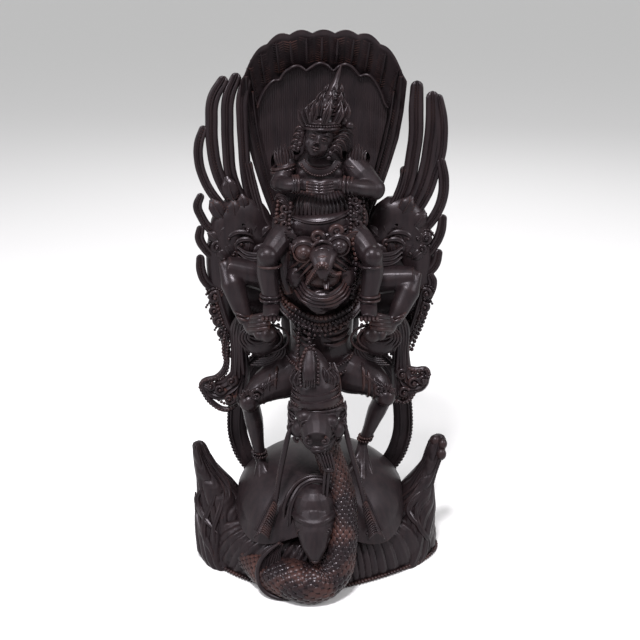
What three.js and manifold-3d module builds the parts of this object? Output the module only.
// A carved wooden statue, one solid block: a crowned rider sits astride the shoulders of a winged bird-man,
// who stands on the domed shell of a turtle with a crowned serpent in front. The bird-man's tail rises behind
// them as a hollow scalloped fan. Millimetres, +Z up, the statue faces -Y, the origin is under its centre.
import * as THREE from "three";
import { mergeVertices } from "three/addons/utils/BufferGeometryUtils.js";
import Module from "manifold-3d";

const wasm = await Module();
wasm.setup();

// Driving sizes of the whole statue
const statueHeight = 405;
const baseHalfWidth = 96;
const baseFront = { left: 66, right: 50 };
const baseBack = 80;
const bedHeight = 30;
const shell = { halfWidth: 72, halfDepth: 66, height: 94, centreY: 3, lip: 30 };

const v = (x, y, z) => new THREE.Vector3(x, y, z);
const forward = v(0, -1, 0);
const upward = v(0, 0, 1);
const sides = [-1, 1];

// Turns a closed geometry into a solid
function solid(geometry) {
  geometry.deleteAttribute("normal");
  geometry.deleteAttribute("uv");
  const merged = mergeVertices(geometry, 1e-3);
  return new wasm.Manifold(
    new wasm.Mesh({
      numProp: 3,
      vertProperties: merged.attributes.position.array,
      triVerts: new Uint32Array(merged.index.array),
    }),
  );
}

// Moves every vertex of a geometry by a function of its place
function mapped(geometry, move) {
  const position = geometry.attributes.position;
  const place = new THREE.Vector3();
  for (let i = 0; i < position.count; i++) {
    place.fromBufferAttribute(position, i);
    const moved = move(place);
    position.setXYZ(i, moved.x, moved.y, moved.z);
  }
  return geometry;
}

// Reads a list of sizes, evenly spaced from 0 to 1, at t
function along(list, t) {
  const place = Math.min(Math.max(t, 0), 1) * (list.length - 1);
  const below = Math.min(Math.floor(place), list.length - 2);
  return THREE.MathUtils.lerp(list[below], list[below + 1], place - below);
}

// A limb: a cylinder bent along a smooth spine, with half-widths and half-depths that change on the way.
// The depth of its section lies towards facing. A grooved limb has its sides drawn in and out in turn.
function limb(spine, widths, options = {}) {
  const { depths = widths, around = 6, steps = spine.length, facing = forward, groove = 0 } = options;
  const curve = new THREE.CatmullRomCurve3(spine, false, "centripetal");
  return solid(
    mapped(new THREE.CylinderGeometry(1, 1, 1, around, steps), (p) => {
      const t = p.y + 0.5;
      const tangent = curve.getTangent(t);
      const depthway = facing.clone().addScaledVector(tangent, -facing.dot(tangent)).normalize();
      const sideways = new THREE.Vector3().crossVectors(tangent, depthway);
      const swell = 1 - groove * (0.5 + 0.5 * Math.cos((around / 2) * Math.atan2(p.x, p.z)));
      return curve
        .getPoint(t)
        .addScaledVector(sideways, p.x * along(widths, t) * swell)
        .addScaledVector(depthway, p.z * along(depths, t) * swell);
    }),
  );
}

// An ellipsoid, turned by tilt about its own axes
function ball(centre, size, tilt = [0, 0, 0], around = 8) {
  const geometry = new THREE.SphereGeometry(1, around, Math.round(around * 0.6));
  geometry.rotateX(Math.PI / 2);
  geometry.scale(size.x, size.y, size.z);
  geometry.applyMatrix4(new THREE.Matrix4().makeRotationFromEuler(new THREE.Euler(...tilt)));
  return solid(geometry.translate(centre.x, centre.y, centre.z));
}

// A turned form: [radius, height] pairs, set on a foot point and pointing along an axis
function turned(profile, foot, axis = v(0, 0, 1), around = 10) {
  const points = profile.map(([radius, height]) => new THREE.Vector2(radius, height));
  const geometry = new THREE.LatheGeometry(points, around);
  geometry.applyQuaternion(new THREE.Quaternion().setFromUnitVectors(v(0, 1, 0), axis.clone().normalize()));
  return solid(geometry.translate(foot.x, foot.y, foot.z));
}

// Distance from the axis to the edge of the base in one direction: a soft diamond in front, cut back further on
// the right than on the left, and round behind
function baseEdge(angle) {
  const inFront = Math.sin(angle) < 0;
  const front = THREE.MathUtils.lerp(baseFront.left, baseFront.right, 0.5 + 0.5 * Math.cos(angle));
  const x = Math.abs(Math.cos(angle)) / baseHalfWidth;
  const y = Math.abs(Math.sin(angle)) / (inFront ? front : baseBack);
  const power = inFront ? 1.6 : 2;
  return (x ** power + y ** power) ** (-1 / power);
}

// The bed of waves under the turtle, with upright flutes round its edge
function waveBed() {
  const flutes = 15;
  const fluteDepth = 0.02;
  const rings = [[0, 0], [0.97, 0], [1, 0.4], [0.96, 0.8], [0.8, 1], [0, 1]];
  const profile = rings.map(([r, h]) => new THREE.Vector2(r, h * bedHeight));
  return solid(
    mapped(new THREE.LatheGeometry(profile, flutes * 2).rotateX(Math.PI / 2), (p) => {
      const angle = Math.atan2(p.y, p.x);
      const radius = Math.hypot(p.x, p.y) * baseEdge(angle) * (1 + fluteDepth * Math.cos(flutes * angle));
      return v(radius * Math.cos(angle), radius * Math.sin(angle), p.z);
    }),
  );
}

// A wall of breaking waves at each end of the bed, drawn up to one peak
function waveCrest(side) {
  const peak = side < 0 ? v(-95, 4, 96) : v(94, 4, 104);
  const spine = [v(side * 74, 8, 6), v(side * 78, 6, 32), v(side * 83, 4, 56), v(side * 89, 4, 80), peak];
  return limb(spine, [26, 22, 15, 9, 5], { depths: [36, 32, 20, 11, 5], around: 12, steps: 5, groove: 0.12 });
}

// The shell bulges to the left and right of the turtle's neck and ends in a rolled lip
function turtleShell() {
  const dome = [0.88, 0.72, 0.5, 0.25].map((r) => [r, shell.height * Math.sqrt(1 - r * r)]);
  const profile = [[0, 12], [0.85, 12], [0.99, shell.lip - 4], [0.97, shell.lip + 3], ...dome];
  const points = [...profile, [0, shell.height]].map(([r, z]) => new THREE.Vector2(r, z));
  const bulge = (angle) => 1 + 0.05 * Math.cos(4 * (angle + Math.PI / 4)) * Math.max(0, -Math.sin(angle));
  return solid(
    mapped(new THREE.LatheGeometry(points, 20).rotateX(Math.PI / 2), (p) => {
      const grow = bulge(Math.atan2(p.y, p.x));
      return v(p.x * shell.halfWidth * grow, shell.centreY + p.y * shell.halfDepth * grow, p.z);
    }),
  );
}

function turtleHeadAndTail() {
  const neck = [v(-1, -34, 74), v(-3, -50, 68), v(-5, -62, 55), v(-6, -69, 45), v(-6, -73, 38)];
  const head = limb(neck, [17, 17, 15, 10, 3], { depths: [13, 14, 13, 8, 3], around: 8 });
  const brow = [v(-24, -38, 62), v(-14, -47, 79), v(0, -48, 84), v(15, -42, 78)];
  const hood = limb(brow, [3, 4, 4, 3], { around: 4 });
  const tail = limb([v(0, 56, 40), v(2, 68, 26), v(5, 77, 16), v(11, 82, 13)], [9, 7, 5, 2], { steps: 3 });
  return [head, hood, tail];
}

// The serpent lies round the turtle's head and climbs over the shell to rear between the bird-man's knees
function serpentBody() {
  const coil = [v(-56, -36, 15), v(-40, -50, 14), v(-23, -61, 15), v(-5, -66, 15), v(12, -61, 23)];
  const climb = [v(20, -52, 44), v(20, -44, 64), v(15, -38, 84), v(6, -34, 108), v(1, -32, 134)];
  const girth = [11, 14, 15, 15.5, 14.5, 12.5, 11.5, 10.5, 10, 11];
  return limb([...coil, ...climb], girth, { around: 7, steps: 13 });
}

function serpentHead() {
  const skull = ball(v(0, -40, 143), v(18, 15, 16));
  const snout = limb([v(0, -44, 139), v(2, -62, 132)], [15, 9], { depths: [10, 6], steps: 1, facing: upward });
  const jaw = limb([v(1, -40, 128), v(2, -54, 122)], [13, 8], { depths: [7, 4], steps: 1, facing: upward });
  const tongue = limb([v(3, -50, 122), v(5, -54, 105), v(1, -52, 74)], [5, 3, 2], { around: 4, steps: 3 });
  const eyes = sides.map((side) => ball(v(side * 11, -52, 146), v(5, 4, 4.5), [0, 0, 0], 5));
  const tiers = [[0, 0], [18, 0], [19, 5], [15.5, 9], [17, 13], [13, 17], [12, 25], [6, 32], [0, 38]];
  const crown = turned(tiers, v(0, -38, 148), v(-0.06, 0.2, 1), 8);
  const ears = sides.map((side) =>
    limb([v(side * 15, -38, 134), v(side * 20, -35, 150), v(side * 20, -30, 166)], [5, 6, 2], { around: 4 }),
  );
  return [skull, snout, jaw, tongue, ...eyes, crown, ...ears];
}

// Two long sashes hang from the serpent's neck and end in brushes on the shell
function sash(side) {
  const spine = [v(side * 16, -36, 136), v(side * 20, -38, 114), v(side * 31, -44, 78), v(side * 41, -46, 52)];
  return limb(spine, [4, 3, 4.5, 8], { depths: [4, 3, 4, 5], around: 5 });
}

// Joints of the bird-man's limbs, left and right of the picture
const birdLegs = [
  { side: -1, hip: v(-27, -5, 157), mid: v(-42, -12, 150), knee: v(-53, -17, 143), ankle: v(-46, -8, 84) },
  { side: 1, hip: v(27, -5, 160), mid: v(40, -11, 154), knee: v(49, -16, 147), ankle: v(33, -6, 98) },
];
const birdArms = [
  { side: -1, shoulder: v(-34, 2, 232), elbow: v(-67, -5, 243), wrist: v(-54, -21, 208) },
  { side: 1, shoulder: v(34, 2, 231), elbow: v(68, -5, 234), wrist: v(53, -21, 208) },
];

// A point pushed out to the surface of the shell
function onShell(x, y, lift) {
  const share = (x / shell.halfWidth) ** 2 + ((y - shell.centreY) / shell.halfDepth) ** 2;
  return v(x, y, shell.height * Math.sqrt(Math.max(0, 1 - share)) + lift);
}

function birdLeg({ side, hip, mid, knee, ankle }) {
  const toeLength = 30;
  const thigh = limb([v(side * 8, 2, 166), hip, mid, knee], [20, 18, 13, 8], { around: 7 });
  const kneecap = ball(knee.clone().add(v(0, -4, 0)), v(8, 8, 8), [0, 0, 0], 6);
  const shin = limb([knee, knee.clone().lerp(ankle, 0.35).add(v(0, 2, 0)), ankle], [7.5, 7.5, 4.5]);
  const toes = [-0.5, 0.05, 0.6].map((turn) => {
    const reach = (share, lift) =>
      onShell(
        ankle.x - side * toeLength * share * Math.sin(turn),
        ankle.y - toeLength * share * Math.cos(turn),
        lift,
      );
    return limb([ankle, reach(0.5, 6), reach(1.05, -1)], [4, 4, 1.6], { around: 4, steps: 2 });
  });
  const outwards = v(side * 0.8, -0.3, -0.4);
  const cuff = turned([[0, -6], [13, -5], [15, 1], [10, 8], [0, 8]], mid, outwards, 7);
  return [thigh, kneecap, shin, ...toes, cuff];
}

function birdArm({ side, shoulder, elbow, wrist }) {
  const upper = limb([shoulder, elbow], [12, 8], { steps: 2 });
  const point = elbow.clone().add(v(side * 2, 0, 3));
  const lower = limb([point, elbow.clone().lerp(wrist, 0.35), wrist], [5, 9, 6]);
  const fingers = limb([v(side * 54, -24, 204), v(side * 43, -31, 208), v(side * 32, -34, 214)], [6, 8.5, 8.5], {
    depths: [4, 6, 5],
    around: 16,
    steps: 2,
    groove: 0.16,
  });
  const thumb = ball(v(side * 36, -34, 202), v(6.5, 6, 7), [0, 0, 0], 6);
  return [upper, lower, fingers, thumb];
}

function birdBody() {
  const waist = [v(0, 4, 150), v(0, 2, 166), v(1, -3, 190)];
  const chest = [v(1, -3, 206), v(0, 0, 224), v(0, 3, 242), v(0, 4, 258)];
  const torso = limb([...waist, ...chest], [24, 28, 23, 24, 30, 34, 26], {
    depths: [18, 21, 20, 19, 19, 17, 14],
    around: 8,
    steps: 6,
  });
  const belly = ball(v(1, -10, 195), v(19, 13, 17));
  const band = [v(-28, -8, 224), v(-17, -22, 214), v(1, -27, 209), v(19, -22, 214), v(29, -8, 224)];
  const collar = limb(band, [5, 7, 8, 7, 5], { depths: [4, 4, 4, 4, 4], around: 5, steps: 6 });
  const apron = limb([v(0, -20, 192), v(-1, -26, 176), v(-1, -27, 160)], [7, 13, 9], {
    depths: [3, 5, 5],
    around: 5,
  });
  return [torso, belly, collar, apron];
}

function birdHead() {
  const skull = ball(v(1, -18, 257), v(24, 20, 15));
  const upperBeak = limb([v(1, -26, 260), v(2, -42, 262), v(2, -51, 252)], [17, 11, 3], {
    depths: [8, 7, 3],
    facing: upward,
  });
  const lowerBeak = limb([v(1, -22, 238), v(2, -37, 234), v(3, -44, 236)], [19, 14, 6], {
    depths: [6, 5, 3],
    steps: 2,
    facing: upward,
  });
  const tongue = limb([v(2, -24, 243), v(3, -42, 246)], [5, 3], { around: 5, steps: 1, facing: upward });
  const eyes = sides.map((side) => ball(v(1 + side * 13, -36, 263), v(6, 5, 6), [0, 0, 0], 7));
  const cheeks = sides.map((side) =>
    limb([v(side * 19, -18, 272), v(side * 27, -20, 252), v(side * 24, -20, 230)], [7, 6, 5], { around: 5 }),
  );
  return [skull, upperBeak, lowerBeak, tongue, ...eyes, ...cheeks];
}

function riderBody() {
  const spine = [v(0, 2, 272), v(0, 2, 286), v(0, 0, 304), v(0, 1, 319), v(0, 0, 331)];
  const torso = limb(spine, [17, 14, 19, 20, 7], { depths: [13, 11, 12, 11, 7], around: 8 });
  const folds = [v(-32, -6, 270), v(-14, -19, 276), v(2, -22, 278), v(18, -18, 281), v(31, -6, 280)];
  const lap = limb(folds, [9, 11, 11, 11, 9], { depths: [8, 9, 9, 9, 8] });
  const pleats = limb([v(-15, -13, 290), v(0, -19, 288), v(15, -13, 293)], [6, 8, 6], { steps: 4 });
  const seat = limb([v(-26, 4, 268), v(0, 8, 270), v(26, 4, 268)], [10, 13, 10], { steps: 2 });
  const neck = limb([v(0, 0, 324), v(-1, -8, 337)], [6, 6], { steps: 1 });
  return [torso, lap, pleats, seat, neck];
}

function riderLeg(side) {
  const knee = v(side * 36, -34, 260);
  const heel = v(side * 34, -33, 226);
  const thigh = limb([v(side * 12, -2, 276), v(side * 26, -20, 270), knee], [11, 10, 8]);
  const kneecap = ball(knee.clone().add(v(0, -1, 1)), v(8, 8, 8), [0, 0, 0], 6);
  const shin = limb([knee, knee.clone().lerp(heel, 0.4).add(v(0, 2, 0)), heel], [7.6, 7.8, 6], { steps: 2 });
  const foot = limb([heel, v(side * 35, -48, 220)], [7, 6.5], { depths: [6, 4], steps: 1, facing: upward });
  return [thigh, kneecap, shin, foot];
}

function riderArm(side) {
  const shoulder = v(side * 21, 0, 320);
  const elbow = side < 0 ? v(-28, -9, 305) : v(37, -10, 301);
  const wrist = v(side * 11, -24, 308);
  const upper = limb([shoulder, elbow], side < 0 ? [7, 5.5] : [7.5, 8], { steps: 2 });
  const middle = elbow.clone().lerp(wrist, 0.5).add(v(0, -3, 0));
  const lower = limb([elbow, middle, wrist], [6, 5.5, 4.5], { steps: 2 });
  const hand = limb([wrist, v(-side * 10, -28, 306)], [5, 4], { depths: [3.5, 3], steps: 2 });
  const pad = turned([[0, 0], [8, 0], [8, 4], [3, 8], [0, 15]], shoulder, v(side * 0.3, 0, 1), 7);
  return [upper, lower, hand, pad];
}

// The rider's head leans to one side, and the tall crown with it
function riderHead() {
  const lean = v(0.32, 0.12, 1).normalize();
  const centre = v(-1, -11, 338);
  const up = (height) => centre.clone().addScaledVector(lean, height);
  const head = ball(centre, v(10.5, 11.5, 13), [0.25, 0.3, 0], 9);
  const nose = limb([centre.clone().add(v(0, -9, 4)), centre.clone().add(v(-1, -13, -2))], [1.6, 2.6], {
    around: 4,
    steps: 1,
  });
  const brim = [[0, 0], [13, 0], [14.5, 4]];
  const tiers = [[11, 8], [11.5, 12], [8, 16], [8, 20], [5, 24], [4.5, 29], [0, 42]];
  const crown = turned([...brim, ...tiers], up(7), lean, 8);
  const diadem = [-1, 0, 1].map((i) => {
    const foot = up(9).add(v(i * 8, -9 + 2 * Math.abs(i), 0));
    const tip = foot.clone().addScaledVector(lean, 11).add(v(i * 2, -2, 0));
    return limb([foot, tip], [5, 1], { around: 4, steps: 1 });
  });
  const earPieces = sides.map((side) => {
    const spine = [up(-7).add(v(side * 9, 0, 0)), up(3).add(v(side * 15, 0, 0)), up(13).add(v(side * 18, 2, 0))];
    return limb(spine, [4, 5, 1.5], { around: 4, steps: 2 });
  });
  return [head, nose, crown, ...diadem, ...earPieces];
}

// The tail fan is a curved sheet with a scalloped top edge and a raised, scalloped inner face. Columns and rows
// give the places across and up the sheet; the lists after them are read upwards from the foot.
const fan = {
  foot: 232,
  lean: 2.5,
  thickness: 5,
  step: 3.5,
  columns: [-1, -0.9, -0.86, -0.68, -0.51, -0.34, -0.17, 0, 0.17, 0.34, 0.51, 0.68, 0.86, 0.9, 1],
  rows: [0, 0.3, 0.58, 0.8, 0.86, 0.88, 1],
  halfWidths: [26, 29, 34, 41, 47, 52, 54, 54],
  backs: [20, 26, 30, 33, 35, 34, 28, 14],
};

function fanSheet() {
  const across = fan.columns.length - 1;
  const up = fan.rows.length - 1;
  return solid(
    mapped(new THREE.BoxGeometry(2, 1, 1, across, 1, up), (p) => {
      const column = Math.round(((p.x + 1) / 2) * across);
      const u = fan.columns[column];
      const w = fan.rows[Math.round((p.z + 0.5) * up)];
      const scallop = (count) => Math.abs(Math.sin((Math.PI * count * column) / across));
      const lobe = w === 1 ? 3 * scallop(7) : 3 * scallop(7) * w ** 8;
      const edge = statueHeight - 3 + lobe - 26 * u ** 4;
      const cup = 9 * u * u * Math.min(1, 2 * w);
      const raised = Math.abs(u) < 0.87 && w < 0.87 ? fan.step : 0;
      const depth = p.y < 0 ? -raised - fan.thickness / 2 : fan.thickness / 2;
      return v(
        u * along(fan.halfWidths, w) + fan.lean * w,
        along(fan.backs, w) - cup + depth,
        fan.foot + w * (edge - fan.foot),
      );
    }),
  );
}

function tailFan() {
  const stem = limb([v(0, 17, 148), v(0, 20, 190), v(0, 21, 225), v(0, 22, 256)], [24, 30, 28, 26], {
    depths: [8, 8, 8, 5],
    steps: 3,
  });
  // Four small holes are pierced through the fan beside the rider's neck and shoulders
  const holes = [
    [-33, 314, 2.6, 6],
    [-17.5, 321, 3, 3],
    [17.5, 318, 3, 3],
    [34, 317, 2.6, 4],
  ].map(([x, z, halfWidth, halfHeight]) =>
    limb([v(x, 8, z), v(x, 50, z)], [halfWidth, halfWidth], {
      depths: [halfHeight, halfHeight],
      facing: v(0, 0, 1),
      steps: 1,
    }),
  );
  return fanSheet().add(stem).subtract(wasm.Manifold.union(holes));
}

// Wing feathers leave the covert line and hook upwards. Each is [root x, root z, tip x, tip z, angle it
// leaves at, angle it arrives at]; 90 degrees is straight up and more leans outwards.
const wings = [
  {
    side: -1,
    feathers: [
      [35, 262, 51, 315, 126, 92],
      [49, 286, 52, 372, 102, 66],
      [55, 280, 58, 374, 116, 62],
      [54, 270, 67, 372, 128, 56],
      [60, 268, 82, 339, 126, 76],
      [60, 250, 86, 291, 138, 80],
      [58, 238, 87, 267, 154, 82],
      [58, 218, 88, 245, 164, 84],
    ],
  },
  {
    side: 1,
    feathers: [
      [35, 256, 60, 310, 134, 90],
      [48, 268, 66, 368, 118, 94],
      [56, 266, 76, 363, 116, 88],
      [64, 272, 81, 361, 112, 74],
      [66, 260, 85, 317, 124, 86],
      [64, 242, 88, 275, 140, 90],
      [58, 226, 86, 249, 156, 78],
      [64, 206, 83, 231, 134, 82],
    ],
  },
];

function wing({ side, feathers }) {
  const heading = (degrees) => {
    const angle = THREE.MathUtils.degToRad(degrees);
    return v(-side * Math.cos(angle), 0, Math.sin(angle));
  };
  const line = [
    [22, 254],
    [43, 264],
    [57, 279],
    [69, 256],
    [73, 226],
    [72, 198],
    [68, 178],
  ].map(([x, z]) => v(side * x, 12, z));
  const coverts = limb(line, [8, 15, 18, 17, 14, 11, 6], {
    depths: [6, 8, 9, 8, 7, 5, 4],
    around: 7,
    steps: 8,
  });
  // A plain panel closes the wing behind the arm, from the shoulder blade down to the hip
  const panel = limb([v(side * 12, 15, 228), v(side * 40, 14, 226), v(side * 70, 12, 222)], [34, 32, 26], {
    depths: [5, 5, 4],
    steps: 2,
  });
  const plumes = feathers.map(([rootX, rootZ, tipX, tipZ, leave, arrive], i) => {
    const root = v(side * rootX, 13, rootZ);
    const tip = v(side * tipX, 11 - 0.5 * i, tipZ);
    const reach = root.distanceTo(tip);
    const start = root.clone().addScaledVector(heading(leave), 0.4 * reach);
    const end = tip.clone().addScaledVector(heading(arrive), -0.34 * reach);
    const bend = new THREE.CubicBezierCurve3(root, start, end, tip);
    const width = i === 0 ? 3 : 4 - 0.14 * i;
    return limb(bend.getPoints(4), [1.2 * width, 1.2 * width, width, width, 0.5 * width], {
      depths: [4, 4.5, 4, 4, 2],
      around: 4,
      steps: 4,
    });
  });
  return [coverts, panel, ...plumes];
}

// A beaded sash end rolls up under each hand, falls beside the hip and turns out like a boot
function sashEnd(side) {
  const eye = v(side * 44, -14, 188);
  const roll = [0, 1, 2, 3, 4, 5].map((i) => {
    const angle = (i / 5) * 1.8 * Math.PI + Math.PI / 2;
    return eye.clone().add(v(side * 10 * Math.cos(angle), 0, 8.5 * Math.sin(angle)));
  });
  const ring = limb(roll, [4, 4.6, 4.6, 4.6, 4.6, 4], { depths: [6, 6, 6, 6, 6, 5], around: 4, steps: 7 });
  const bridge = limb([v(side * 24, 6, 200), v(side * 44, -8, 190), v(side * 66, 2, 197)], [8, 10, 6], {
    depths: [8, 8, 5],
  });
  const hem = side < 0 ? [v(-71, 0, 147), v(-88, -1, 147)] : [v(67, 0, 153), v(80, -1, 157)];
  const drop = [v(side * 61, 3, 198), v(side * 64, 2, 178), v(side * 63, 1, 156)];
  const fall = limb([...drop, ...hem], [7, 6, 8, 12, 4], { depths: [5, 4, 4, 4, 3], around: 5 });
  const toe = limb([v(side * 60, 1, 162), v(side * 66, 1, 137)], [5, 11], {
    depths: [4, 4],
    around: 5,
    steps: 1,
  });
  return [ring, bridge, fall, toe];
}

// Two flat bands of the tail cloth arch down behind the legs and prop the figure on the shell
function cloth(side) {
  const upper = [v(side * 16, 16, 168), v(side * 42, 20, 162), v(side * 60, 23, 138)];
  const lower = [v(side * 66, 25, 104), v(side * 62, 25, 74), v(side * 50, 22, 56)];
  return limb([...upper, ...lower], [9, 8, 6, 7, 8, 9], {
    depths: [7, 5, 4.5, 4.5, 5, 8],
    around: 5,
    steps: 7,
  });
}

const carving = [
  waveBed(),
  ...sides.map(waveCrest),
  turtleShell(),
  ...turtleHeadAndTail(),
  serpentBody(),
  ...serpentHead(),
  ...sides.map(sash),
  ...birdLegs.flatMap(birdLeg),
  ...birdArms.flatMap(birdArm),
  ...birdBody(),
  ...birdHead(),
  ...riderBody(),
  ...sides.flatMap(riderLeg),
  ...sides.flatMap(riderArm),
  ...riderHead(),
  tailFan(),
  ...wings.flatMap(wing),
  ...sides.flatMap(sashEnd),
  ...sides.map(cloth),
];

// The whole carving is one solid, sawn off flat at the underside
const whole = wasm.Manifold.union(carving).trimByPlane([0, 0, 1], 0).simplify(0.1);
const cut = whole.getMesh();
const geometry = new THREE.BufferGeometry();
geometry.setAttribute("position", new THREE.BufferAttribute(new Float32Array(cut.vertProperties), 3));
geometry.setIndex(new THREE.BufferAttribute(new Uint32Array(cut.triVerts), 1));
geometry.computeVertexNormals();

const darkWood = new THREE.MeshStandardMaterial({ color: 0x1a1414, roughness: 0.38, metalness: 0 });
const statue = new THREE.Mesh(geometry, darkWood);
statue.name = "statue";

const group = new THREE.Group();
group.add(statue);

export default group;
